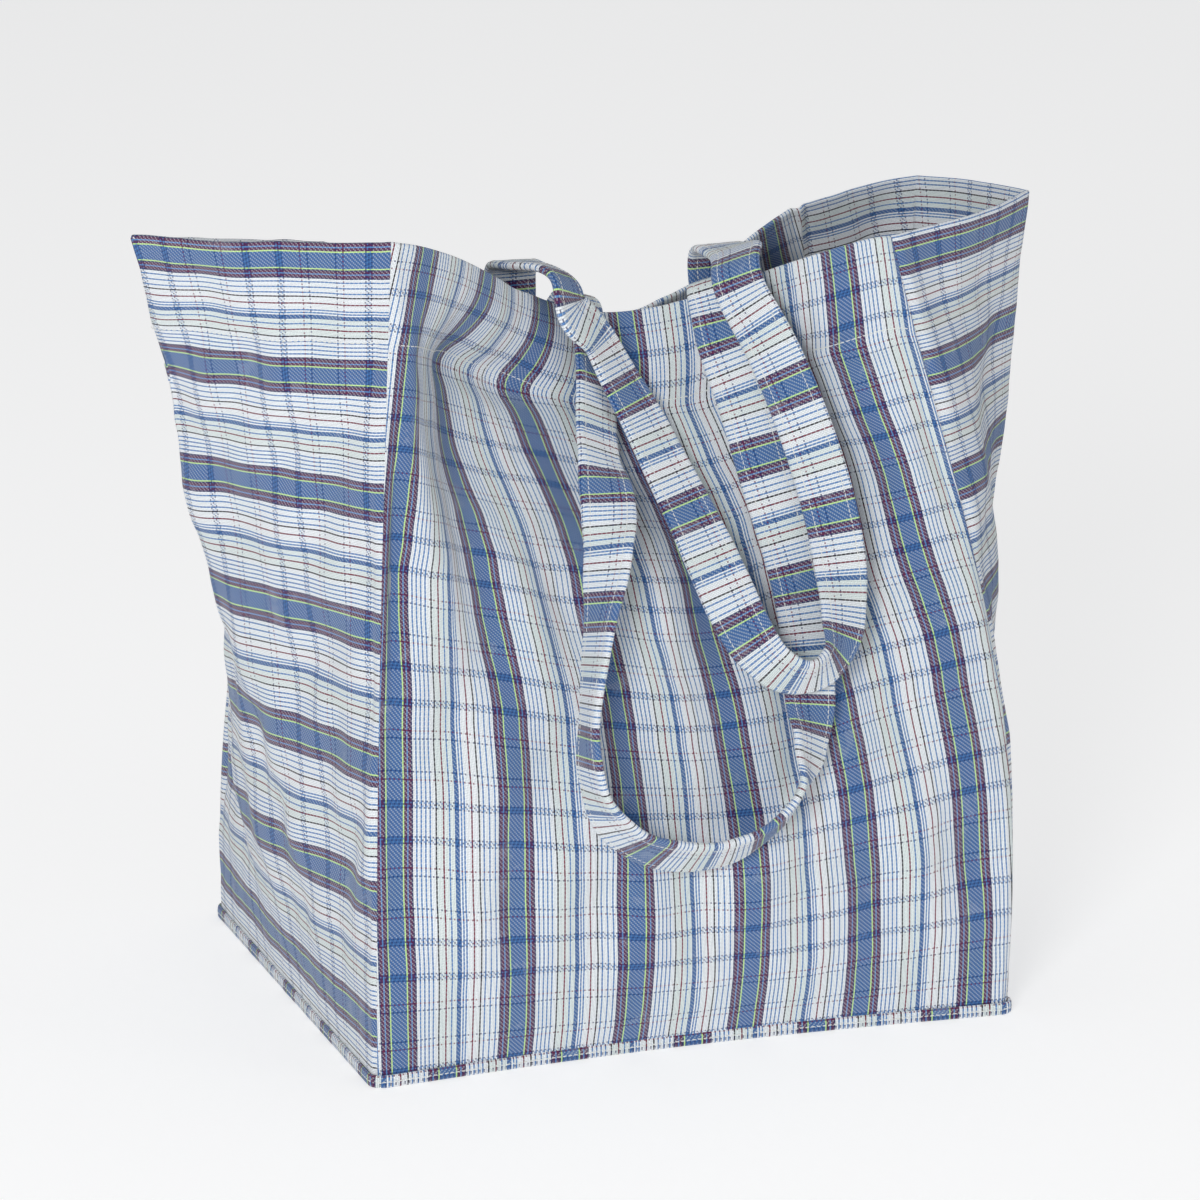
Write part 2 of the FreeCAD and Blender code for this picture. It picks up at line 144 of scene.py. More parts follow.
def side_surface(side, u, h):
    """Outer surface of a side at share u of its width and h of its height: between its two seams, with the
    belly, the pinch and sag of the mouth, and the flare of the gussets added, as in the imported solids."""
    u, h = np.broadcast_arrays(np.asarray(u, float), np.asarray(h, float))
    start, end = SIDES[side]
    a, b = seam_line(start, h), seam_line(end, h)
    point = a + (b - a) * u[..., None]
    bulge = BELLY[side] * np.sin(np.pi * u) * bow_share(h)
    zero = np.zeros_like(h)
    if side == "front_panel":
        d = dip(u, 0.045, 1.7)
        foot = 0.010 * np.sin(np.pi * u) * (1 - h) ** 6
        return point + np.stack([zero, 0.085 * d * h**2.2 - bulge + foot, -0.057 * d * h], -1)
    if side == "back_panel":
        d = dip(u, -0.03, 1.3)
        return point + np.stack([zero, -0.032 * d * h**2.2 + bulge, -0.043 * d * h], -1)
    out = -1.0 if side == "left_gusset" else 1.0
    top_a, top_b = np.array(CORNERS[start][1]), np.array(CORNERS[end][1])
    flare = rim_fold(side, u) - (top_a + (top_b - top_a) * u[..., None])
    lean = h**1.5
    return point + np.stack([flare[..., 0] * lean + out * bulge, flare[..., 1] * lean, flare[..., 2] * h], -1)


HEM_SHARE = 1 - HEM / HEIGHT


def creases(side, u, h):
    """What the standing cloth adds to the plain surface: x, y and z moves, from bells over u and h."""
    u, h = np.broadcast_arrays(np.asarray(u, float), np.asarray(h, float))
    x, y, z = np.zeros_like(h), np.zeros_like(h), np.zeros_like(h)
    inner = smooth(0.0, 0.05, u) * smooth(1.0, 0.95, u)
    if side == "front_panel":
        # the valley beside the left seam, deepest just under the hem line
        tall = bell(h, 0.86, 0.24, 0.075)
        y += 0.031 * tall * smooth(0.04, 0.24, u) * smooth(0.62, 0.26, u)
        x -= 0.018 * tall * smooth(0.04, 0.22, u) * smooth(0.70, 0.26, u)
        # the right bank, which falls in behind the seam
        tall = bell(h, 0.70, 0.26, 0.24)
        y += 0.017 * tall * bell(u, 0.79, 0.13, 0.08)
        # the hem line's kink
        line = bell(h, HEM_SHARE, 0.016, 0.020)
        y += 0.0060 * line * bell(u, 0.28, 0.16, 0.18) * inner
        y += 0.0050 * line * bell(u, 0.80, 0.14) * inner
        # soft upright folds
        ripple = 0.0030 * np.sin(2 * np.pi * (u * 5.2 + 0.25 * np.sin(3.1 * h)))
        y += ripple * bell(h, 0.62, 0.22, 0.2) * inner * 0.6
    return np.stack([x, y, z], -1) * smooth(0.0, 0.10, h)[..., None]


def side_points(side, u, h):
    return side_surface(side, u, h) + creases(side, u, h)


def normals_of(p):
    """Unit normals of a grid of points: across the columns times up the rows."""
    n = np.cross(np.gradient(p, axis=1), np.gradient(p, axis=0))
    return n / np.maximum(np.linalg.norm(n, axis=-1, keepdims=True), 1e-12)


def waves(a, b, size, seed):
    """Soft unevenness of about -1 to 1: a sum of ten sines in scattered directions, about size long."""
    rng = np.random.default_rng(seed)
    total = np.zeros(np.broadcast(a, b).shape)
    draws = (rng.uniform(0, np.pi, 10), rng.uniform(0, 6.28, 10), rng.uniform(0.7, 1.6, 10))
    for turn, phase, length in zip(*draws):
        total = total + np.sin(2 * np.pi / (size * length) * (a * np.cos(turn) + b * np.sin(turn)) + phase)
    return total / 3.2


def mitre(corner, h):
    """Outward step at a seam that is one unit clear of both of its sides."""
    meeting = [(side, ends) for side, ends in SIDES.items() if corner in ends]
    sides = [(side, 1.0 if ends[1] == corner else 0.0) for side, ends in meeting]
    units = []
    for side, u in sides:
        step = -0.002 if u > 0.5 else 0.002
        across = (side_surface(side, u + step, h) - side_surface(side, u, h)) * np.sign(step)
        up = side_surface(side, u, h + 0.002) - side_surface(side, u, np.maximum(h - 0.002, 0))
        n = np.cross(across, up)
        units.append(n / np.linalg.norm(n, axis=-1, keepdims=True))
    total = units[0] + units[1]
    return total / (1 + np.sum(units[0] * units[1], -1, keepdims=True)).clip(0.5)


def cloth_grid(side, u, h):
    """Outer face and outward unit steps of a side over rows h and columns u. At the seams the steps turn
    to the mitre and the face dips 2.2 mm into the seam; soft waves of 0.5 and 0.25 mm stand for the
    cloth's unevenness."""
    U, H = np.meshgrid(u, h)
    plain = side_points(side, U, H)
    n = normals_of(plain)
    width = CUT[side][0]
    near = [1 - smooth(0.0, 0.010, U * width), 1 - smooth(0.0, 0.010, (1 - U) * width)]
    for share, corner in zip(near, SIDES[side]):
        n = n * (1 - share[..., None]) + mitre(corner, h)[:, None, :] * share[..., None]
    dip_in = 0.0022 * ((1 - smooth(0.0, 0.007, U * width)) + (1 - smooth(0.0, 0.007, (1 - U) * width)))
    inner = (1 - near[0]) * (1 - near[1]) * smooth(0.0, 0.06, H)
    seed = sorted(SIDES).index(side)
    x, z = U * width, H * HEIGHT
    rough = 0.0005 * waves(x, z, 0.060, seed) + 0.00025 * waves(x, z, 0.022, seed + 9)
    folds = waves(x + 0.25 * z, 0.30 * z, 0.075, seed + 20)
    folds = folds + 0.5 * waves(x - 0.3 * z, 0.5 * z, 0.045, seed + 30)
    rough = rough - 0.0028 * (1.1 + folds) * smooth(0.02, 0.25, H) * (1 - 0.6 * smooth(HEM_SHARE, 1.0, H))
    return plain - n * dip_in[..., None] + n * (rough * inner)[..., None], n


# ---- straps ----
STRAP_WIDTH, STRAP_THICKNESS = 0.029, 0.0050
STRAP_PHASE = {"front_handle": 0.034, "back_handle": 0.003}  # start of the pattern along each strap
STRAP_GAP = 0.0030  # strap to cloth
BACK_GAP = 0.0110  # the back strap also clears the front one
BLOCK = 0.0020  # half the doubled hem the bends go round
TAIL = (0.044, 0.029, 0.014)  # places of the fixed ends, down the inside of the hem
FRONT_ROOTS, BACK_ROOTS, BACK_CROSSINGS = (-0.034, 0.042), (-0.062, 0.054), (-0.055, 0.056)
# place across, drop below the front hinge line (mm), and turn of the outer face (degrees), root to root
FRONT_ROUTE = [
    (-34, 26, 0), (-37, 52, 0), (-43, 80, 2), (-48, 101, 34), (-55, 128, 68), (-64, 165, 92),
    (-70, 203, 98), (-69, 236, 84), (-53, 264, 58), (-24, 279, 47), (6, 281, 50), (32, 271, 60),
    (48, 255, 66), (57, 234, 34), (62, 210, 4), (64, 184, 0), (63, 152, 0), (58, 120, 0),
    (53, 88, 0), (48, 55, 0), (43, 26, 0),
]
BACK_ROUTE = [
    (-42, 24, 0), (-30, 44, 0), (-18, 66, 0), (-6, 92, 0), (6, 121, 4), (15, 149, 18), (23, 174, 38),
    (36, 193, 54), (54, 200, 58), (71, 193, 48), (82, 170, 24), (85, 140, 6), (83, 108, 0), (76, 68, 0),
    (69, 40, 0), (63, 22, 0),
]
FRONT_HINGE, BACK_HINGE = np.array((0, -0.05134, 0.39827)), np.array((0, -0.02802, 0.40927))


def unit(v):
    return v / np.maximum(np.linalg.norm(v, axis=-1, keepdims=True), 1e-12)


def off_panel(side, x, z, lift, surface=side_surface):
    """Points of the front or back side at x and z moved out along its normal by lift, and the normals."""
    start, end = SIDES[side]
    x, z = np.asarray(x, float), np.asarray(z, float)
    u, h = np.full(x.shape, 0.5), np.full(x.shape, 0.5)
    for _ in range(60):
        h = np.clip(h + (z - side_surface(side, u, h)[..., 2]) / HEIGHT * 0.9, 0.001, 0.999)
        first, last = seam_line(start, h)[..., 0], seam_line(end, h)[..., 0]
        u = np.clip((x - first) / (last - first), 0.001, 0.999)
    across = surface(side, u + 0.001, h) - surface(side, u - 0.001, h)
    up = surface(side, u, h + 0.001) - surface(side, u, h - 0.001)
    n = unit(np.cross(across, up))
    return surface(side, u, h) + n * np.asarray(lift)[..., None], n


def mouth_point(side, x):
    """Outer point of the front or back mouth edge at x."""
    u = np.linspace(0, 1, 4001)
    rim = side_surface(side, u, np.ones_like(u))
    order = np.argsort(rim[:, 0])
    return np.array([np.interp(x, rim[order, 0], rim[order, k]) for k in range(3)])


def over_rim(side, x, radius, angles):
    """Places and facings of a bend round the top of the hem, at angles from straight up, outwards
    positive."""
    along = unit(mouth_point(side, x + 0.004) - mouth_point(side, x - 0.004))
    out = unit(np.array((along[1], -along[0], 0.0))) * (1 if side == "front_panel" else -1)
    up = unit(np.cross(along, out))
    up = up if up[2] > 0 else -up
    a = np.radians(angles)[:, None]
    facing = up * np.cos(a) + out * np.sin(a)
    return mouth_point(side, x) - out * BLOCK + facing * radius, facing


def hanging(route, gap):
    """Route places on the front, each out until the turned strap clears the cloth, with facings and
    turns."""
    x, drop, turn = np.array(route, float).T
    a = np.radians(turn)
    lift = gap + STRAP_WIDTH / 2 * np.sin(a) + STRAP_THICKNESS / 2 * np.cos(a)
    return (*off_panel("front_panel", x / 1000, FRONT_HINGE[2] - drop / 1000, lift), turn)


def tail(side, x):
    """Fixed end of a strap on the inside of the hem, raw end first; it faces into the sack."""
    lift = -(2 * BLOCK + STRAP_GAP + STRAP_THICKNESS / 2)
    down = mouth_point(side, x)[2] - np.array(TAIL)
    places, n = off_panel(side, np.full(3, x), down, np.full(3, lift), side_points)
    return places, -n


def front_leg(k):
    side, x = "front_panel", FRONT_ROOTS[k]
    bend = over_rim(side, x, STRAP_GAP + STRAP_THICKNESS / 2 + BLOCK, (-90, -68, -45, -20, 20, 45, 68, 90))
    return [np.concatenate(pair) for pair in zip(tail(side, x), bend)]


def back_leg(k):
    """Up the inside of the back hem, level across the mouth, and over the front hem."""
    x, cross = BACK_ROOTS[k], BACK_CROSSINGS[k]
    edge = mouth_point("back_panel", x)
    inside = edge[1] - (2 * BLOCK + STRAP_GAP + STRAP_THICKNESS / 2)
    a = np.radians((88, 66, 45))
    reach = inside - BACK_HINGE[1]
    y = BACK_HINGE[1] + reach * np.sin(a)
    z = BACK_HINGE[2] - 0.012 * (1 - np.cos(a))
    bend = np.stack([np.full(3, x), y, z], 1)
    faces = np.stack([0 * a, np.sin(a), np.cos(a)], 1)
    ends, end_faces = tail("back_panel", x)
    level = np.array([(x, BACK_HINGE[1] - 0.006, BACK_HINGE[2] - 0.0005)])
    lift = BACK_GAP + STRAP_THICKNESS / 2 + BLOCK
    over, over_faces = over_rim("front_panel", cross, lift, (10, 36, 62, 88))
    places = [ends, [(x, inside - 0.0005, edge[2] + 0.002)], bend, level, over]
    facings = [-end_faces, [(0, 1, 0.05)], faces, [(0, 0, 1)], over_faces]
    return np.concatenate(places), np.concatenate(facings)


def spline(knots, values, at):
    """Natural cubic spline through values at knots, at the places at."""
    step = np.diff(knots)
    n = len(knots)
    m = np.zeros((n, n))
    r = np.zeros((n, values.shape[1]))
    m[0, 0] = m[-1, -1] = 1
    k = np.arange(1, n - 1)
    m[k, k - 1], m[k, k], m[k, k + 1] = step[:-1], 2 * (step[:-1] + step[1:]), step[1:]
    slope = np.diff(values, axis=0) / step[:, None]
    r[1:-1] = 6 * np.diff(slope, axis=0)
    c = np.linalg.solve(m, r)
    i = np.clip(np.searchsorted(knots, at, side="right") - 1, 0, n - 2)
    a, b, w = (knots[i + 1] - at)[:, None], (at - knots[i])[:, None], step[i][:, None]
    place = c[i] * a**3 / (6 * w) + c[i + 1] * b**3 / (6 * w)
    place += (values[i] / w - c[i] * w / 6) * a + (values[i + 1] / w - c[i + 1] * w / 6) * b
    return place


def relaxed(rows, reach):
    """Rows averaged with their neighbours in a bell about reach rows long; the first and last stay."""
    for _ in range(max(1, round(2 * reach**2))):
        rows = np.concatenate([rows[:1], (rows[:-2] + 2 * rows[1:-1] + rows[2:]) / 4, rows[-1:]])
    return rows


def strap_line(name, count):
    """Middle line of a strap with unit steps along it, across it and out of its face, and the length so
    far."""
    leg = front_leg if name == "front_handle" else back_leg
    route, gap = (FRONT_ROUTE, STRAP_GAP) if name == "front_handle" else (BACK_ROUTE, BACK_GAP)
    (p0, f0), (p2, f2) = leg(0), leg(1)
    p1, f1, turn = hanging(route, gap)
    places, faces = np.concatenate([p0, p1, p2[::-1]]), np.concatenate([f0, f1, f2[::-1]])
    turns = np.concatenate([np.zeros(len(p0)), turn, np.zeros(len(p2))])
    knots = np.concatenate([[0], np.cumsum(np.linalg.norm(np.diff(places, axis=0), axis=1))])
    at = np.linspace(0, knots[-1], count)
    place = spline(knots, places, at)
    place = relaxed(place, 0.0040 / (at[1] - at[0]))
    along = unit(np.gradient(place, axis=0))
    n = np.stack([np.interp(at, knots, faces[:, k]) for k in range(3)], -1)
    n = relaxed(n, 0.0080 / (at[1] - at[0]))
    n = unit(n - along * np.sum(n * along, -1, keepdims=True))
    i = np.clip(np.searchsorted(knots, at, side="right") - 1, 0, len(knots) - 2)
    share = smooth(0, 1, (at - knots[i]) / (knots[i + 1] - knots[i]))
    a = np.radians(turns[i] + (turns[i + 1] - turns[i]) * share)[:, None]
    n = n * np.cos(a) + np.cross(along, n) * np.sin(a)
    return place, along, unit(np.cross(n, along)), n, at
# ---- end of shapes ----


# ---- meshes ----
def grid_faces(rows, columns, wrap=False, ring=False):
    """Quads of a grid of rows and columns. wrap also joins the last column to the first, and ring the
    rows."""
    high, wide = (rows if ring else rows - 1), (columns if wrap else columns - 1)
    r, c = np.meshgrid(np.arange(high), np.arange(wide), indexing="ij")
    e, d = (r + 1) % rows, (c + 1) % columns
    return np.stack([r * columns + c, r * columns + d, e * columns + d, e * columns + c], -1).reshape(-1, 4)


def make_piece(name, points, faces, uv=None, material=None, flat=False):
    """A mesh from arrays of points and faces (a list of arrays, one for each number of sides), with a UV
    for each point. An old piece of the same name is removed first."""
    old = bpy.data.objects.get(name)
    if old is not None:
        bpy.data.objects.remove(old)
    faces = faces if isinstance(faces, list) else [faces]
    mesh = bpy.data.meshes.new(name)
    points = np.asarray(points, np.float32).reshape(-1, 3)
    loops = np.concatenate([f.reshape(-1) for f in faces]).astype(np.int32)
    sizes = np.concatenate([np.full(len(f), f.shape[1]) for f in faces]).astype(np.int32)
    mesh.vertices.add(len(points))
    mesh.vertices.foreach_set("co", points.reshape(-1))
    mesh.loops.add(len(loops))
    mesh.loops.foreach_set("vertex_index", loops)
    mesh.polygons.add(len(sizes))
    mesh.polygons.foreach_set("loop_start", np.concatenate([[0], np.cumsum(sizes)[:-1]]).astype(np.int32))
    mesh.polygons.foreach_set("use_smooth", np.full(len(sizes), not flat))
    mesh.update(calc_edges=True)
    if uv is not None:
        layer = mesh.uv_layers.new(name="UVMap")
        layer.data.foreach_set("uv", np.asarray(uv, np.float32).reshape(-1, 2)[loops].reshape(-1))
    mesh.validate()
    piece = bpy.data.objects.new(name, mesh)
    bpy.context.scene.collection.objects.link(piece)
    if material is not None:
        mesh.materials.append(material)
    return piece


def tube(name, points, length, around, material, ring=False):
    """A closed piece through a grid of points, rows along it and columns round it; ring joins its ends,
    which are capped otherwise. Its UV is the length along, with one more value for the ring's join, and
    the way round."""
    rows, columns = points.shape[:2]
    faces = grid_faces(rows, columns, wrap=True, ring=ring)
    ends = [np.arange(columns)[None, ::-1], np.arange(columns)[None] + (rows - 1) * columns]
    everything = [faces] if ring else [faces] + ends
    piece = make_piece(name, points, everything, np.zeros((rows * columns, 2)), material)
    loops = np.concatenate([f.reshape(-1) for f in everything])
    corner = np.concatenate([np.tile(np.arange(4), len(faces)), np.full(len(loops) - faces.size, 9)])
    r, c = loops // columns, loops % columns
    r = np.where((r == 0) & ((corner == 2) | (corner == 3)), rows, r) if ring else r
    c = np.where((c == 0) & ((corner == 1) | (corner == 2)), columns, c)
    uv = np.stack([length[np.minimum(r, len(length) - 1)], around[c]], -1)
    piece.data.uv_layers["UVMap"].data.foreach_set("uv", uv.astype(np.float32).reshape(-1))
    return piece


def round_length(profile):
    """Way round a closed profile, from 0 to the whole of it."""
    return np.concatenate([[0], np.cumsum(np.linalg.norm(np.roll(profile, -1, axis=0) - profile, axis=1))])


def stitches(name, centre, along, normal, size, material):
    """A row of stitches in one mesh: each a small rounded bar of six sides and four rings, length, width
    and height as size, lying on the cloth."""
    length, width, height = size
    a = np.arange(6) * np.pi / 3
    ring = np.stack([np.cos(a) * width / 2, np.sin(a) * height / 2], -1)
    stops, scale = np.array((-0.5, -0.36, 0.36, 0.5)) * length, np.array((0.35, 1.0, 1.0, 0.35))
    sink = np.array((-0.35, 0.0, 0.0, -0.35)) * height
    local = np.zeros((4, 6, 3))
    local[..., 0] = stops[:, None]
    local[..., 1] = ring[None, :, 0] * scale[:, None]
    local[..., 2] = ring[None, :, 1] * scale[:, None] + sink[:, None]
    local = local.reshape(-1, 3)
    frame_of = np.stack([along, np.cross(normal, along), normal], 1)
    points = centre[:, None] + np.einsum("kj,njc->nkc", local, frame_of)
    quads = grid_faces(4, 6, wrap=True)
    caps = np.stack([np.arange(6)[::-1], np.arange(6) + 18])
    shift = np.arange(len(centre))[:, None, None] * 24
    faces = [(quads[None] + shift).reshape(-1, 4), (caps[None] + shift).reshape(-1, 6)]
    uv = np.tile(np.stack([local[:, 0], local[:, 1]], -1), (len(centre), 1))
    return make_piece(name, points, faces, uv, material)


def rounded(width, thickness, count, power=3.2):
    """A loop |x/a|^p + |y/b|^p = 1, anticlockwise."""
    t = np.linspace(0, 2 * np.pi, count, endpoint=False)
    c, s = np.cos(t), np.sin(t)
    return np.stack([np.sign(c) * np.abs(c) ** (2 / power) * width / 2,
                     np.sign(s) * np.abs(s) ** (2 / power) * thickness / 2], -1)


# ---- materials ----
COLOURS = {
    "white": (0.86, 0.90, 0.93), "cream": (0.76, 0.84, 0.83), "light_blue": (0.080, 0.225, 0.52),
    "mid_blue": (0.022, 0.120, 0.355), "lime": (0.50, 0.78, 0.26), "burgundy": (0.090, 0.004, 0.070),
    "navy": (0.010, 0.018, 0.110), "red": (0.19, 0.005, 0.035), "black": (0.012, 0.008, 0.016),
}
W, C, L, M, G = "white", "cream", "light_blue", "mid_blue", "lime"
B, N, R, K = "burgundy", "navy", "red", "black"
# yarns of one repeat of the warp from the middle of the wide blue band
WARP = [
    [(M, 5), (G, 1), (B, 2), (L, 1), (B, 2), (N, 1), (W, 2), (L, 1), (W, 2), (L, 1), (W, 2), (L, 1), (W, 2), (L, 1),
     (W, 3), (K, 1), (C, 4), (R, 1), (C, 3), (L, 1), (C, 3)],
    [(M, 3), (W, 1), (L, 1), (W, 1), (L, 1), (W, 4), (R, 1), (W, 4), (K, 1), (W, 2), (L, 1), (W, 3), (L, 1), (W, 3),
     (L, 1), (W, 2), (N, 1), (B, 2), (L, 1), (B, 2), (N, 1), (G, 1), (M, 6)],
]
WEFT = [
    [(N, 1), (L, 1), (N, 1), (L, 1), (N, 1), (W, 17), (N, 1), (L, 1), (N, 1), (L, 1), (N, 1), (W, 12),
     (R, 1)],
    [(C, 4), (N, 1), (C, 19), (N, 1), (W, 4), (R, 1), (W, 14)],
]


class Shader:
    """A material under construction: add() makes a node, linking sockets and setting constants."""

    def __init__(self, name):
        old = bpy.data.materials.get(name)
        if old is not None:
            bpy.data.materials.remove(old)
        self.material = bpy.data.materials.new(name)
        self.material.use_nodes = True
        self.tree = self.material.node_tree
        self.tree.nodes.clear()

    def add(self, kind, inputs=None, **settings):
        node = self.tree.nodes.new("ShaderNode" + kind)
        for key, value in settings.items():
            setattr(node, key, value)
        for key, value in (inputs or {}).items():
            if isinstance(value, bpy.types.NodeSocket):
                self.tree.links.new(value, node.inputs[key])
            else:
                node.inputs[key].default_value = value
        return node

    def maths(self, operation, *values):
        return self.add("Math", dict(enumerate(values)), operation=operation).outputs[0]

    def mix(self, share, a, b, blend="MIX"):
        node = self.add("Mix", data_type="RGBA", blend_type=blend)
        for k, value in ((0, share), (6, a), (7, b)):
            if isinstance(value, bpy.types.NodeSocket):
                self.tree.links.new(value, node.inputs[k])
            else:
                node.inputs[k].default_value = value
        return node.outputs[2]

    def noise(self, scale, detail=3.0, roughness=0.6):
        place = self.add("TexCoord").outputs["Object"]
        values = {"Vector": place, "Scale": scale, "Detail": detail, "Roughness": roughness}
        return self.add("TexNoise", values).outputs[0]

    def ramp(self, runs, share):
        node = self.add("ValToRGB", {0: share})
        ramp = node.color_ramp
        ramp.interpolation = "CONSTANT"
        total, at = sum(n for _, n in runs), 0
        for k, (colour, n) in enumerate(runs):
            element = ramp.elements[k] if k < 2 else ramp.elements.new(at / total)
            element.position = at / total
            element.color = (*COLOURS[colour], 1)
            at += n
        return node.outputs[0]

    def yarns(self, halves, index):
        """Colour of a yarn by its place in the repeat, read from two constant ramps."""
        first = sum(n for _, n in halves[0])
        place = self.maths("ADD", self.maths("FLOORED_MODULO", index, 84.0), 0.5)
        low = self.ramp(halves[0], self.maths("DIVIDE", place, float(first)))
        above = self.maths("SUBTRACT", place, float(first))
        high = self.ramp(halves[1], self.maths("DIVIDE", above, 84.0 - first))
        return self.mix(self.maths("GREATER_THAN", place, float(first)), low, high)

    def finish(self, colour, height, distance, roughness, sheen=0.25):
        bump = self.add("Bump", {"Height": height, "Distance": distance, "Strength": 1.0})
        values = {"Base Color": colour, "Roughness": roughness, "Normal": bump.outputs[0], "Sheen Weight": sheen,
                  "Sheen Roughness": 0.5, "Specular IOR Level": 0.2}
        surface = self.add("BsdfPrincipled", values)
        self.add("OutputMaterial", {"Surface": surface.outputs[0]})
        return self.material


def plaid(name, shift=(0.0, 0.0), dull=0.0):
    """Twill plaid from the UV in metres: warp colour by u, weft colour by v, the weft on top in every third
    cell, stepping one yarn a row, so that the weave runs in fine diagonals."""
    s = Shader(name)
    place = s.add("SeparateXYZ", {0: s.add("UVMap", uv_map="UVMap").outputs[0]})
    x = s.maths("ADD", s.maths("DIVIDE", place.outputs[0], YARN), shift[0] / YARN)
    y = s.maths("ADD", s.maths("DIVIDE", place.outputs[1], YARN), shift[1] / YARN)
    i, j = s.maths("FLOOR", x), s.maths("FLOOR", y)
    warp, weft = s.yarns(WARP, i), s.yarns(WEFT, j)
    on_top = s.maths("COMPARE", s.maths("FLOORED_MODULO", s.maths("ADD", i, j), 3.0), 2.0, 0.5)
    grey = s.add("RGBToBW", {0: weft}).outputs[0]
    share = s.maths("MULTIPLY", s.maths("ADD", on_top, 0.10), s.maths("MULTIPLY_ADD", grey, -0.50, 0.72))
    colour = s.mix(share, warp, weft)
    patchy = s.noise(7.0, 4.0)
    fuzz = s.noise(900.0, 2.0)
    wear = s.maths("MULTIPLY_ADD", patchy, 0.16, 0.90 - dull)
    light = s.maths("ADD", wear, s.maths("MULTIPLY_ADD", fuzz, 0.16, -0.06))
    tone = s.add("HueSaturation", {"Hue": 0.5, "Saturation": 0.97, "Value": light, "Fac": 1.0, "Color": colour})
    worn = s.maths("MULTIPLY", s.maths("GREATER_THAN", s.noise(60.0, 5.0), 0.62), 0.08)
    round_x = s.maths("SINE", s.maths("MULTIPLY", s.maths("FRACT", x), math.pi))
    round_y = s.maths("SINE", s.maths("MULTIPLY", s.maths("FRACT", y), math.pi))
    weave = s.maths("ADD", s.maths("MULTIPLY", round_x, s.maths("SUBTRACT", 1.0, on_top)),
                    s.maths("MULTIPLY", round_y, on_top))
    # painted shade between the yarns: the colour is multiplied by 0.34 in the gaps, rising to about 1 on the yarns'
    # crowns, and is a little bluer in the shade
    yarn_gap_shade = s.maths("MULTIPLY_ADD", s.maths("POWER", weave, 0.6), 0.70, 0.34)
    painted_gap_shade = s.add("CombineColor", {0: yarn_gap_shade, 1: yarn_gap_shade, 2: s.maths("MULTIPLY_ADD", yarn_gap_shade, 0.93, 0.07)})
    colour = s.mix(1.0, tone.outputs[0], painted_gap_shade.outputs[0], "MULTIPLY")
    colour = s.mix(worn, colour, (0.74, 0.76, 0.78, 1))
    height = s.maths("ADD", weave, s.maths("MULTIPLY", fuzz, 0.8))
    height = s.maths("ADD", height, s.maths("MULTIPLY", s.noise(120.0, 3.0), 2.0))
    rough = s.maths("MULTIPLY_ADD", fuzz, 0.16, 0.78)
    return s.finish(colour, height, 0.00022, rough)


def tape_material(name, colour, pitch=0.0012):
    """Plain ribbed tape: ribs along v, with soft stains."""
    s = Shader(name)
    place = s.add("SeparateXYZ", {0: s.add("UVMap", uv_map="UVMap").outputs[0]})
    rib = s.maths("SINE", s.maths("MULTIPLY", place.outputs[0], 2 * math.pi / pitch))
    fuzz = s.noise(700.0, 3.0)
    # painted shade in the grooves: the rib's sine darkens the colour between the ribs; the large noise added next
    # is soft stains
    groove_shade_and_mottle = s.maths("MULTIPLY_ADD", rib, 0.06, 0.90)
    groove_shade_and_mottle = s.maths("ADD", groove_shade_and_mottle, s.maths("MULTIPLY_ADD", s.noise(12.0), 0.20, -0.10))
    values = {"Hue": 0.5, "Saturation": 1.0, "Value": groove_shade_and_mottle, "Fac": 1.0, "Color": (*colour, 1)}
    tone = s.add("HueSaturation", values)
    height = s.maths("ADD", s.maths("MULTIPLY", rib, 0.5), fuzz)
    return s.finish(tone.outputs[0], height, 0.00018, s.maths("MULTIPLY_ADD", fuzz, 0.2, 0.72))


def thread_material(name, colour):
    """Two-ply thread: fine slanted turns along the stitch."""
    s = Shader(name)
    place = s.add("SeparateXYZ", {0: s.add("UVMap", uv_map="UVMap").outputs[0]})
    along = s.maths("MULTIPLY", place.outputs[0], 9000.0)
    turn = s.maths("ADD", along, s.maths("MULTIPLY", place.outputs[1], 7000.0))
    ply = s.maths("SINE", turn)
    fuzz = s.noise(1500.0, 2.0)
    # painted shade in the grooves: the ply's sine darkens the colour between the turns; the fine noise is fuzz
    groove_shade_and_mottle = s.maths("ADD", s.maths("MULTIPLY_ADD", ply, 0.08, 0.92), s.maths("MULTIPLY_ADD", fuzz, 0.2, -0.1))
    values = {"Hue": 0.5, "Saturation": 1.0, "Value": groove_shade_and_mottle, "Fac": 1.0, "Color": (*colour, 1)}
    tone = s.add("HueSaturation", values)
    height = s.maths("ADD", ply, fuzz)
    return s.finish(tone.outputs[0], height, 0.00008, s.maths("MULTIPLY_ADD", fuzz, 0.2, 0.55))


def cloth_material(slot):
    """The scene's materials by slot, each made once."""
    name = "sewn_" + slot
    made = bpy.data.materials.get(name)
    if made is not None:
        return made
    if slot == "plaid_cloth":
        return plaid(name)
    if slot == "plaid_strap":
        return plaid(name)
    if slot == "plaid_binding":
        return plaid(name, shift=(0.031, 0.022), dull=0.03)
    if slot == "seam_tape":
        return tape_material(name, (0.62, 0.60, 0.54))
    return thread_material(name, (0.78, 0.79, 0.76))


# ---- the pieces ----
GRID = {
    "front_panel": (170, 232), "back_panel": (150, 200),
    "left_gusset": (150, 220), "right_gusset": (150, 220),
}
# heights of the wide bands' middles on the gussets, a repeat apart in the cloth
GUSSET_BANDS = (-0.039, 0.031, 0.101, 0.175, 0.246, 0.316, 0.381, 0.443, 0.513)
HEM_ROWS = 30


def columns_of(side):
    """Shares across a side, closer together at its seams."""
    s = np.linspace(0, 1, GRID[side][0])
    return s - 0.55 * np.sin(2 * np.pi * s) / (2 * np.pi)


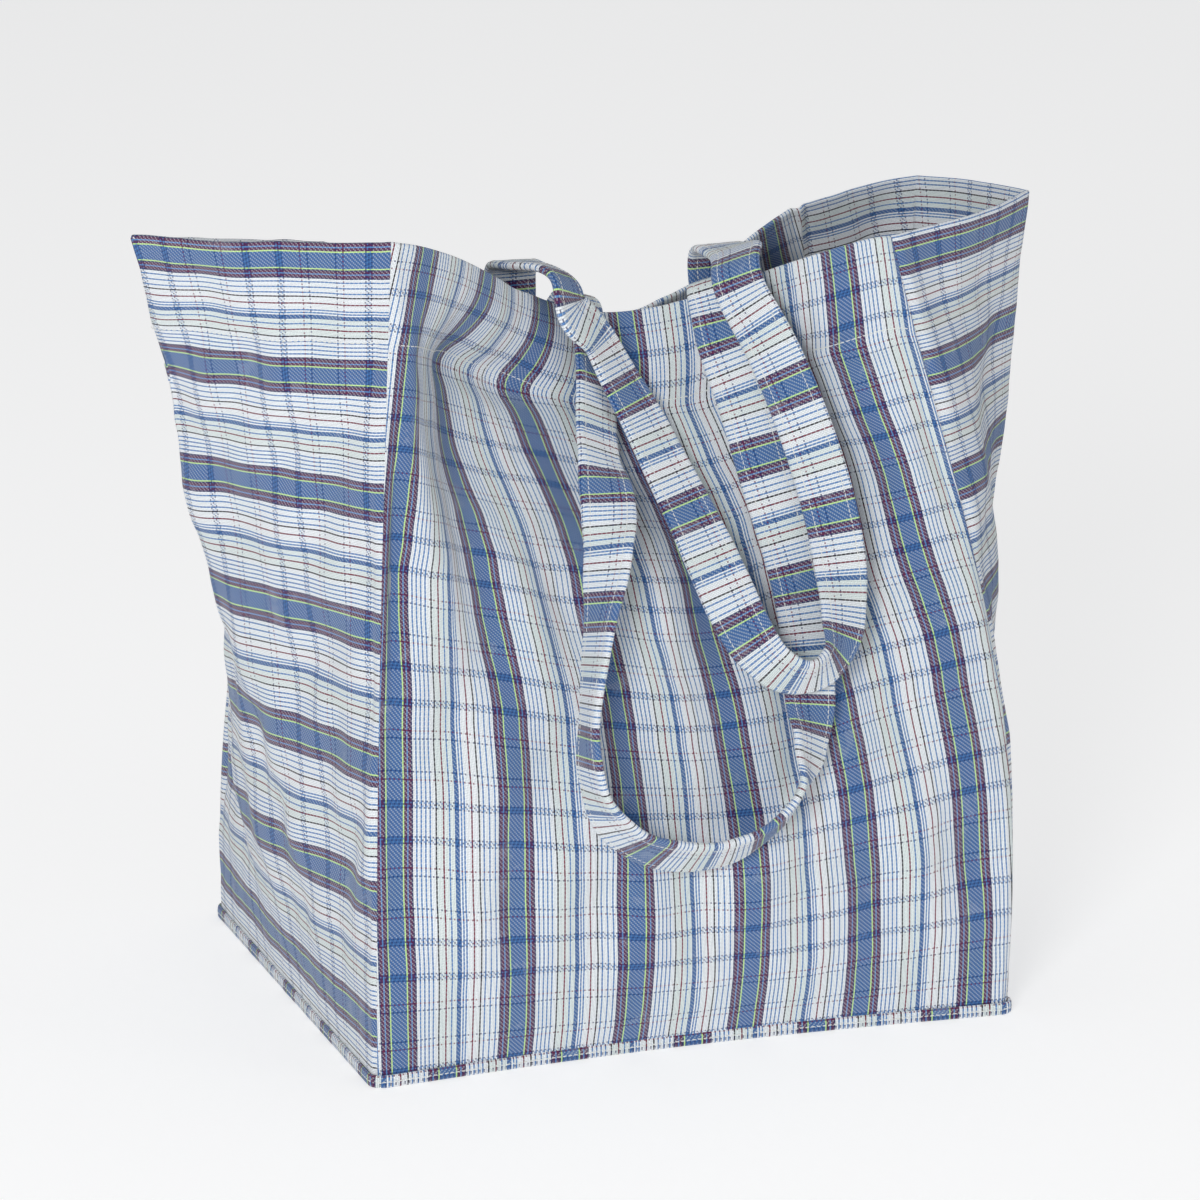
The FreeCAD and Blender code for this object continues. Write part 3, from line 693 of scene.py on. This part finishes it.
# widths that the pattern fills on each side, and how much wider it is at the front's rim
PATTERN_WIDTH = {"front_panel": 0.385, "back_panel": 0.385, "left_gusset": 0.306, "right_gusset": 0.300}
FRONT_SPREAD = 0.028
WEFT_START = 0.055
# heights, and how far the first wide band lies from the left seam there
FIRST_BAND = ((0, 0.25, 0.45, 0.70, 0.88, 1), (0.0145, 0.011, 0.009, 0.0115, 0.017, 0.029))


def side_uv(side, u, h, grid, path):
    """Cloth coordinates of a side: the warp runs up the front and back and across the gussets. On the
    front the first wide band lies 9 to 29 mm from the left seam, by height."""
    steps = np.linalg.norm(np.diff(grid, axis=1), axis=-1)
    across = np.concatenate([np.zeros((len(h), 1)), np.cumsum(steps, axis=1)], 1)
    full = PATTERN_WIDTH[side] + (FRONT_SPREAD * h**2 if side == "front_panel" else 0 * h)
    across = across / across[:, -1:] * full[:, None]
    if side in ("front_panel", "back_panel"):
        off = np.interp(h, *FIRST_BAND)
        up = np.broadcast_to(path[:, None] - WEFT_START, across.shape)
        return np.stack([across - off[:, None], up], -1)
    place = np.interp(path, GUSSET_BANDS, (np.arange(9) - 1) * REPEAT)
    shift = 0.0 if side == "left_gusset" else 0.004
    return np.stack([np.broadcast_to(place[:, None] + shift, across.shape), across - 0.012], -1)


def make_side(side):
    """One cloth of the sack: the outer face from the foot to the rim, a round fold of 1.3 mm radius, and
    the hem turned 54 mm down the inside; then the sheet is given its thickness inwards."""
    u, rows = columns_of(side), GRID[side][1]
    h = np.linspace(0, 1, rows)
    outer, n = cloth_grid(side, u, h)
    up = unit(outer[-1] - outer[-3])
    radius = CLOTH + FOLD_GAP / 2
    a = np.radians(np.arange(20, 180, 20))[:, None, None]
    middle = outer[-1] - n[-1] * radius
    fold = middle + (n[-1] * np.cos(a) + up * np.sin(a)) * radius
    down = 1 - np.linspace(0, HEM / HEIGHT, HEM_ROWS)
    k = np.clip(down * (rows - 1), 0, rows - 1.001)
    i, t = k.astype(int), (k % 1)[:, None, None]
    inner = outer[i] * (1 - t) + outer[i + 1] * t - (n[i] * (1 - t) + n[i + 1] * t) * (2 * radius)
    points = np.concatenate([outer, fold, inner])
    heights = np.concatenate([h, np.ones(len(fold)), down])
    middle_column = points[:, len(u) // 2]
    path = np.concatenate([[0], np.cumsum(np.linalg.norm(np.diff(middle_column, axis=0), axis=1))])
    path = path * HEIGHT / path[rows - 1]
    uv = side_uv(side, u, heights, points, path)
    faces = grid_faces(len(points), len(u))
    piece = make_piece(side + "_cloth", points, faces, uv.reshape(-1, 2), cloth_material("plaid_cloth"))
    thick = piece.modifiers.new("Cloth thickness", "SOLIDIFY")
    thick.thickness, thick.offset, thick.use_even_offset = CLOTH, -1.0, False
    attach(piece, "bag")
    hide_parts(side)
    return piece


def foot_line(out, count=150):
    """Points all round the foot, moved out by out, with outward steps, side after side."""
    points, steps = [], []
    for side in SIDES:
        u = np.linspace(0, 1, count, endpoint=False)
        line = side_surface(side, u, np.zeros_like(u))
        ahead = side_surface(side, np.minimum(u + 0.002, 1), np.zeros_like(u)) - side_surface(
            side, np.maximum(u - 0.002, 0), np.zeros_like(u))
        n = unit(np.stack([ahead[:, 1], -ahead[:, 0], 0 * ahead[:, 0]], -1))
        turn = mitre(SIDES[side][0], np.zeros(1))[0] * (1, 1, 0)
        end = mitre(SIDES[side][1], np.zeros(1))[0] * (1, 1, 0)
        a, b = (1 - smooth(0, 0.02, u))[:, None], (1 - smooth(0, 0.02, 1 - u))[:, None]
        n = n * (1 - a) * (1 - b) + turn * a + end * b
        points.append(line)
        steps.append(n)
    points, steps = np.concatenate(points), np.concatenate(steps)
    points = sum(np.roll(points, k, axis=0) for k in range(-3, 4)) / 7
    steps = unit(sum(np.roll(steps, k, axis=0) for k in range(-3, 4)))
    return points + steps * out, steps


def make_foot_binding():
    """Cloth strip folded round the foot: a rounded section 2.2 mm thick and 7 mm high, swept round the
    base."""
    line, n = foot_line(0.0)
    profile = rounded(BINDING_THICKNESS - 0.0002, BINDING_HEIGHT - 0.0004, 16, 3.0)[::-1]
    middle = line + n * (BINDING_THICKNESS / 2 + 0.0001) + np.array((0, 0, BINDING_HEIGHT / 2 - FOOT))
    steps = np.linalg.norm(np.diff(np.concatenate([line, line[:1]]), axis=0), axis=1)
    length = np.concatenate([[0], np.cumsum(steps)])
    swell = 1 + 0.10 * waves(length[:-1], 0 * length[:-1], 0.012, 4)[:, None, None]
    points = middle[:, None] + n[:, None] * profile[None, :, :1] * swell
    points = points + np.array((0, 0, 1.0)) * profile[None, :, 1:]
    material = cloth_material("plaid_binding")
    piece = tube("foot_strip", points, length, round_length(profile), material, ring=True)
    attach(piece, "bag")
    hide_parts("base_edge_binding")
    return piece


def along_line(points, pitch, *others):
    """Places a pitch apart along a line of points, with the line's direction there and the others read
    there too."""
    length = np.concatenate([[0], np.cumsum(np.linalg.norm(np.diff(points, axis=0), axis=1))])
    at = np.arange(pitch / 2, length[-1] - pitch / 2, pitch)
    read = [np.stack([np.interp(at, length, a[:, k]) for k in range(3)], -1) for a in (points, *others)]
    ahead = np.stack([np.interp(at + pitch / 8, length, points[:, k]) for k in range(3)], -1) - read[0]
    return read[0], unit(ahead), [unit(a) for a in read[1:]]


def square_to(n, along):
    return unit(n - along * np.sum(n * along, -1, keepdims=True))


def make_foot_stitches(pitch):
    line, n = foot_line(BINDING_THICKNESS + 0.0001)
    line = np.concatenate([line, line[:1]]) + np.array((0, 0, 0.0036 - FOOT))
    centre, along, (out,) = along_line(line, pitch, np.concatenate([n, n[:1]]))
    size = (0.0022, 0.0006, 0.0005)
    piece = stitches("foot_stitches", centre, along, square_to(out, along), size, cloth_material("thread"))
    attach(piece, "bag")
    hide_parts("base_edge_stitching")
    return piece


def make_hem_stitches(pitch):
    """The hem's stitching, one row outside and one inside, 2.5 mm above the turned edge."""
    share = HEM_SHARE + 0.0025 / HEIGHT
    rows = []
    for side in SIDES:
        heights = np.array((share - 0.004, share, share + 0.004))
        grid, n = cloth_grid(side, np.linspace(0.012, 0.988, 500), heights)
        for out, lift in ((1, 0.0001), (-1, 2 * CLOTH + FOLD_GAP + 0.0001)):
            line = grid[1] + n[1] * (out * lift)
            centre, along, (normal,) = along_line(line, pitch, n[1] * out)
            rows.append((centre, along, square_to(normal, along)))
    centre, along, normal = (np.concatenate(part) for part in zip(*rows))
    size = (0.0024, 0.0006, 0.0004)
    piece = stitches("hem_stitches", centre, along, normal, size, cloth_material("thread"))
    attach(piece, "bag")
    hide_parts("hem_stitching")
    return piece


def make_base():
    """The base: a sheet between the four foot lines, P = (1-v)F + vB + (1-u)L + uR - corners."""
    u, v = np.linspace(0, 1, 150), np.linspace(0, 1, 120)
    ways = (("front_panel", u), ("right_gusset", v), ("back_panel", 1 - u), ("left_gusset", 1 - v))
    front, right, back, left = (side_surface(side, t, 0 * t) for side, t in ways)
    U, V = u[None, :, None], v[:, None, None]
    points = (1 - V) * front[None] + V * back[None] + (1 - U) * left[:, None] + U * right[:, None]
    corners = (1 - U) * (1 - V) * front[0] + U * (1 - V) * front[-1]
    corners = corners + (1 - U) * V * back[0] + U * V * back[-1]
    points = points - corners
    points = points * (0.992, 0.992, 0)
    edge = np.minimum(np.minimum(U, 1 - U), np.minimum(V, 1 - V))[..., 0]
    ripple = 0.0002 * waves(points[..., 0], points[..., 1], 0.05, 6) * smooth(0, 0.05, edge)
    points[..., 2] = 0.0017 + ripple
    uv = points[..., :2] + (0.180, 0.150)
    piece = make_piece("base_cloth", points, grid_faces(120, 150), uv, cloth_material("plaid_cloth"))
    thick = piece.modifiers.new("Cloth thickness", "SOLIDIFY")
    thick.thickness, thick.offset = CLOTH, -1.0
    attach(piece, "bag")
    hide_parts("base_panel")
    return piece


def make_seam_tape(corner):
    """Tape bound round an upright seam's allowance, standing 9 mm into the sack up to the hem."""
    h = np.linspace(0.010, HEM_SHARE - 0.004, 160)
    line, into = seam_line(corner, h), -unit(mitre(corner, h))
    into = into + 0.10 * np.stack([waves(h, 0 * h, 0.25, 11), waves(h, 0 * h, 0.22, 12), 0 * h], -1)
    up = unit(np.gradient(line, axis=0))
    n = square_to(into, up)
    profile = rounded(0.0019, 0.0090, 20, 3.0)
    across = unit(np.cross(n, up))
    middle = line + n * (0.0022 + CLOTH + 0.0050)
    points = middle[:, None] + across[:, None] * profile[None, :, :1] + n[:, None] * profile[None, :, 1:]
    length = np.concatenate([[0], np.cumsum(np.linalg.norm(np.diff(line, axis=0), axis=1))])
    piece = tube(corner + "_tape", points, length, round_length(profile), cloth_material("seam_tape"))
    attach(piece, "bag")
    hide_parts(corner + "_seam_binding")
    return piece


STRAP_ROWS = 440  # sections from raw end to raw end
ROW = STRAP_WIDTH / 2 - 0.0048  # the strap's rows of stitches, from its middle


def strap_face(x):
    """Half thickness of a strap across its width: flat with rolled edges, pinched by 0.45 mm at its
    stitch rows."""
    share = np.abs(2 * x / STRAP_WIDTH)
    full = STRAP_THICKNESS / 2 * (1 - np.minimum(share, 1) ** 7) ** (1 / 2.1)
    roll = 1 - 0.10 * smooth(0.72, 0.55, share)
    return full * roll - 0.00045 * bell(np.abs(x), ROW, 0.0008) * (share < 0.98)


def rim_rows(middle):
    """Rows of a strap's middle line where its two ends cross the rim."""
    reach = len(middle) // 7
    return int(np.argmax(middle[:reach, 2])), len(middle) - 1 - int(np.argmax(middle[::-1][:reach, 2]))


def strap_stretch(name, label, first, last, slack=1.0):
    """A stretch of a strap between two rows of its middle line: a stuffed strip 29 by 5 mm."""
    middle, _, across, n, length = (rows[first:last] for rows in strap_line(name, STRAP_ROWS))
    x = np.cos(np.linspace(0, np.pi, 31)) * STRAP_WIDTH / 2
    top = np.stack([x, strap_face(x)], -1)
    profile = np.concatenate([top, (top * (1, -1))[-2:0:-1]]) * slack
    swell = 1 + 0.035 * waves(length[:, None], profile[None, :, 0] * 2, 0.018, 21)
    points = middle[:, None] + across[:, None] * profile[None, :, :1]
    points = points + n[:, None] * (profile[None, :, 1] * swell)[..., None]
    phase = STRAP_PHASE[name]
    piece = tube(label, points, length + phase, round_length(profile) + 0.024, cloth_material("plaid_strap"))
    return piece


def make_strap(name):
    """A strap from raw end to raw end. The front one's ends, inside the hem, are pieces of their own that
    stay with the sack and run a little way into the strap at the rim."""
    if name == "back_handle":
        piece = strap_stretch(name, name + "_strap", 0, STRAP_ROWS)
        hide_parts(*(name + part for part in ("_cover", "_webbing", "_left_end", "_right_end")))
        bend_at_hinge(piece, name)
        return
    a, b = rim_rows(strap_line(name, STRAP_ROWS)[0])
    piece = strap_stretch(name, name + "_strap", a - 3, b + 4)
    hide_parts(name + "_cover", name + "_webbing")
    bend_at_hinge(piece, name)
    for label, first, last in (("_left", 0, a + 2), ("_right", b - 1, STRAP_ROWS)):
        piece = strap_stretch(name, name + label + "_tail", first, last, slack=0.96)
        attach(piece, "bag")
        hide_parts(name + label + "_end")


def strap_rows_of_stitches(name, first, last, pitch):
    """Both rows of stitches through a stretch of a strap, seen on both faces."""
    middle, _, across, n, _ = (rows[first:last] for rows in strap_line(name, 2 * STRAP_ROWS))
    rows = []
    for place in (ROW, -ROW):
        for face in (1, -1):
            line = middle + across * place + n * (face * (strap_face(np.array(ROW)) + 0.00012))
            centre, along, (normal,) = along_line(line, pitch, n * face)
            rows.append((centre, along, square_to(normal, along)))
    return [np.concatenate(part) for part in zip(*rows)]


def make_strap_stitches(name, pitch):
    """A strap's stitches; those on the front strap's ends stay with the sack."""
    size = (0.0021, 0.00055, 0.0004)
    first, last = 0, 2 * STRAP_ROWS
    if name == "front_handle":
        a, b = rim_rows(strap_line(name, 2 * STRAP_ROWS)[0])
        ends = [strap_rows_of_stitches(name, *span, pitch) for span in ((0, a - 5), (b + 6, last))]
        rows = [np.concatenate(part) for part in zip(*ends)]
        piece = stitches(name + "_tail_stitches", *rows, size, cloth_material("thread"))
        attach(piece, "bag")
        first, last = a - 5, b + 6
    rows = strap_rows_of_stitches(name, first, last, pitch)
    piece = stitches(name + "_strap_stitches", *rows, size, cloth_material("thread"))
    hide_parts(name + "_stitching")
    bend_at_hinge(piece, name)


def bend_at_hinge(piece, name):
    """Bakes the piece's placement into its points. For the front strap it also reads the two places of its roots on
    the rim, which nothing uses."""
    if name == "front_handle":
        first, last = (mouth_point("front_panel", x) for x in FRONT_ROOTS)
    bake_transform(piece)


# ---- stage ----
def make_stage(light):
    """Pale floor, even world light, three large soft lamps, and the camera in front, a little left and
    above."""
    scene = bpy.context.scene
    s = Shader("pale_floor")
    speck = s.noise(3.0, 2.0)
    colour = s.mix(s.maths("MULTIPLY", speck, 0.02), (0.50, 0.50, 0.50, 1), (0.48, 0.48, 0.48, 1))
    s.finish(colour, s.noise(200.0), 0.00002, 0.9, sheen=0.0)
    glow = next(node for node in s.tree.nodes if node.type == "BSDF_PRINCIPLED")
    glow.inputs["Emission Color"].default_value = (1, 1, 1, 1)
    glow.inputs["Emission Strength"].default_value = 0.56 * light
    floor = make_piece("floor", [(-9, -9, 0), (9, -9, 0), (9, 9, 0), (-9, 9, 0)], np.array([[0, 1, 2, 3]]), None,
                       s.material, flat=True)
    world = bpy.data.worlds.get("soft_room") or bpy.data.worlds.new("soft_room")
    world.use_nodes = True
    world.node_tree.nodes["Background"].inputs[0].default_value = (0.97, 0.98, 1.0, 1)
    world.node_tree.nodes["Background"].inputs[1].default_value = 0.40 * light
    scene.world = world
    for name, place, aim, size, power in (
        ("key_light", (-2.0, -3.3, 1.5), (0, 0, 0.2), 1.2, 96),
        ("fill_light", (2.6, -2.6, 1.6), (0, 0, 0.2), 1.8, 10),
        ("top_light", (0.2, 0.6, 3.4), (0, 0, 0.2), 3.0, 14),
    ):
        data = bpy.data.lights.new(name, "AREA")
        data.shape, data.size, data.energy = "DISK", size, power * light
        lamp = bpy.data.objects.new(name, data)
        lamp.location = place
        lamp.rotation_euler = aimed(place, aim)
        scene.collection.objects.link(lamp)
    data = bpy.data.cameras.new("camera")
    data.lens, data.sensor_width = 192.75, 36.0
    camera = bpy.data.objects.new("camera", data)
    camera.location = (-1.0990, -3.1811, 1.1741)
    camera.rotation_euler = aimed(camera.location, (-0.0036, 0, 0.2094))
    scene.collection.objects.link(camera)
    scene.camera = camera
    scene.view_settings.view_transform = "Standard"


def aimed(place, target):
    """Rotation that points -Z from place at target, with +Y up."""
    d = [b - a for a, b in zip(place, target)]
    flat = math.hypot(d[0], d[1])
    return (math.atan2(flat, -d[2]), 0.0, math.atan2(-d[0], d[1]))


# ---- the add-on ----
class SackSettings(bpy.types.PropertyGroup):
    hem_pitch: bpy.props.FloatProperty(name="Hem stitch", description="Length of one hem stitch with its gap",
                                       default=0.0032, min=0.0015, max=0.01, unit="LENGTH")
    strap_pitch: bpy.props.FloatProperty(name="Strap stitch", description="Length of one strap stitch with its gap",
                                         default=0.0028, min=0.0015, max=0.01, unit="LENGTH")
    light: bpy.props.FloatProperty(name="Light", description="Share of the studio light's full strength",
                                   default=1.0, min=0.1, max=3.0, subtype="FACTOR")


class SACK_OT_sides(bpy.types.Operator):
    """Make the front, the back and the two gussets, each with its turned hem"""
    bl_idname = "sack.sides"
    bl_label = "Sides"

    def execute(self, context):
        for side in SIDES:
            make_side(side)
        return {"FINISHED"}


class SACK_OT_hem_stitches(bpy.types.Operator):
    """Make the hem's row of stitches"""
    bl_idname = "sack.hem_stitches"
    bl_label = "Hem stitches"

    def execute(self, context):
        make_hem_stitches(context.scene.sack.hem_pitch)
        return {"FINISHED"}


class SACK_OT_base(bpy.types.Operator):
    """Make the base, the binding round its edge and the binding's stitches"""
    bl_idname = "sack.base"
    bl_label = "Base"

    def execute(self, context):
        make_base()
        make_foot_binding()
        make_foot_stitches(context.scene.sack.hem_pitch)
        return {"FINISHED"}


class SACK_OT_seam_tapes(bpy.types.Operator):
    """Make the tape on each of the four upright seams"""
    bl_idname = "sack.seam_tapes"
    bl_label = "Seam tapes"

    def execute(self, context):
        for corner in CORNERS:
            make_seam_tape(corner)
        return {"FINISHED"}


class SACK_OT_straps(bpy.types.Operator):
    """Make the two shoulder straps with their stitches"""
    bl_idname = "sack.straps"
    bl_label = "Straps"

    def execute(self, context):
        for name in ("front_handle", "back_handle"):
            make_strap(name)
            make_strap_stitches(name, context.scene.sack.strap_pitch)
        return {"FINISHED"}


class SACK_OT_stage(bpy.types.Operator):
    """Make the floor, the lights and the camera"""
    bl_idname = "sack.stage"
    bl_label = "Stage"

    def execute(self, context):
        make_stage(context.scene.sack.light)
        return {"FINISHED"}


OPERATORS = (
    SACK_OT_sides, SACK_OT_hem_stitches, SACK_OT_base,
    SACK_OT_seam_tapes, SACK_OT_straps, SACK_OT_stage,
)


class SACK_PT_panel(bpy.types.Panel):
    bl_idname = "SACK_PT_panel"
    bl_label = "Carrying sack"
    bl_space_type = "VIEW_3D"
    bl_region_type = "UI"
    bl_category = "Sack"

    def draw(self, context):
        for name in ("hem_pitch", "strap_pitch", "light"):
            self.layout.prop(context.scene.sack, name)
        for operator in OPERATORS:
            self.layout.operator(operator.bl_idname)


CLASSES = (SackSettings, *OPERATORS, SACK_PT_panel)


def register():
    for each in CLASSES:
        bpy.utils.register_class(each)
    bpy.types.Scene.sack = bpy.props.PointerProperty(type=SackSettings)


def unregister():
    del bpy.types.Scene.sack
    for each in reversed(CLASSES):
        bpy.utils.unregister_class(each)


def main():
    register()
    for operator in OPERATORS:
        group, name = operator.bl_idname.split(".")
        if getattr(getattr(bpy.ops, group), name)() != {"FINISHED"}:
            raise RuntimeError(operator.bl_label + " could not be made")


if __name__ == "__main__":
    main()
